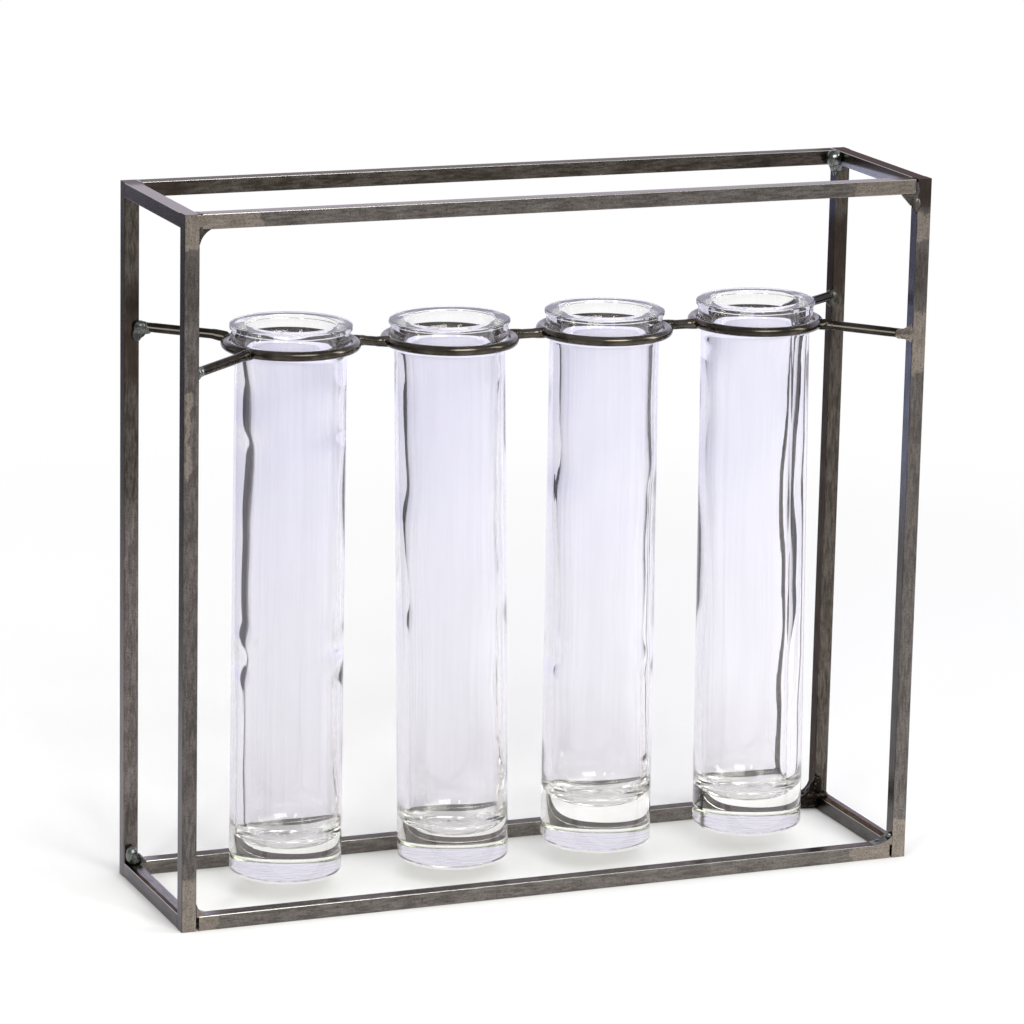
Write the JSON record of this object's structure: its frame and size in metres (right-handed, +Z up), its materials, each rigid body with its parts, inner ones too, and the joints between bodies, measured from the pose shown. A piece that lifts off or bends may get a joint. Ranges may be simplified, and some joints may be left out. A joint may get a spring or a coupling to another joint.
{
  "type": "test tube vase",
  "caption": "Bud vase: a row of clear glass tubes hangs by the neck in linked wire rings, inside an open box frame welded from square steel bar.",
  "frame": {"origin": "on the floor, under the middle of the frame", "axes": "+X along the row of tubes, +Y from the front to the back, +Z up"},
  "size_m": [0.2602, 0.067, 0.235],
  "materials": {
    "bar_steel": "raw hot-rolled square bar, darkened and clear coated, ground bright at the corners",
    "wire_steel": "drawn round wire, darkened and clear coated, glossier than the bars",
    "weld_metal": "weld beads and fillets, dark grey with bright spots, some ground flush",
    "clear_glass": "clear pressed glass with a wavy inner wall and a thick base"
  },
  "bodies": {
    "rack": {"post_front_left": "bar_steel", "post_front_right": "bar_steel", "post_rear_left": "bar_steel", "post_rear_right": "bar_steel", "rail_top_front": "bar_steel", "rail_top_rear": "bar_steel", "rail_top_left": "bar_steel", "rail_top_right": "bar_steel", "rail_bottom_front": "bar_steel", "rail_bottom_rear": "bar_steel", "rail_bottom_left": "bar_steel", "rail_bottom_right": "bar_steel", "weld_top_front_left": "weld_metal", "weld_top_front_right": "weld_metal", "weld_top_rear_left": "weld_metal", "weld_top_rear_right": "weld_metal", "weld_bottom_front_left": "weld_metal", "weld_bottom_front_right": "weld_metal", "weld_bottom_rear_left": "weld_metal", "weld_bottom_rear_right": "weld_metal", "ring_1": "wire_steel", "ring_2": "wire_steel", "ring_3": "wire_steel", "ring_4": "wire_steel", "link_1": "wire_steel", "link_2": "wire_steel", "link_3": "wire_steel", "link_weld_1": "weld_metal", "link_weld_2": "weld_metal", "link_weld_3": "weld_metal", "arm_front_left": "wire_steel", "arm_front_right": "wire_steel", "arm_rear_left": "wire_steel", "arm_rear_right": "wire_steel", "arm_ring_weld_front_left": "weld_metal", "arm_ring_weld_front_right": "weld_metal", "arm_ring_weld_rear_left": "weld_metal", "arm_ring_weld_rear_right": "weld_metal", "arm_post_weld_front_left": "weld_metal", "arm_post_weld_front_right": "weld_metal", "arm_post_weld_rear_left": "weld_metal", "arm_post_weld_rear_right": "weld_metal"},
    "tube_1": {"glass_tube_1": "clear_glass"},
    "tube_2": {"glass_tube_2": "clear_glass"},
    "tube_3": {"glass_tube_3": "clear_glass"},
    "tube_4": {"glass_tube_4": "clear_glass"}
  },
  "joints": [
    {"name": "tube_1_lift", "type": "slide", "parent": "rack", "child": "tube_1", "axis": [0.0017, 0, 1], "range_m": [0, 0.235]},
    {"name": "tube_2_lift", "type": "slide", "parent": "rack", "child": "tube_2", "axis": [-0.0244, 0, 0.9997], "range_m": [0, 0.235]},
    {"name": "tube_3_lift", "type": "slide", "parent": "rack", "child": "tube_3", "axis": [-0.007, 0, 1], "range_m": [0, 0.235]},
    {"name": "tube_4_lift", "type": "slide", "parent": "rack", "child": "tube_4", "axis": [-0.0157, 0, 0.9999], "range_m": [0, 0.235]}
  ]
}
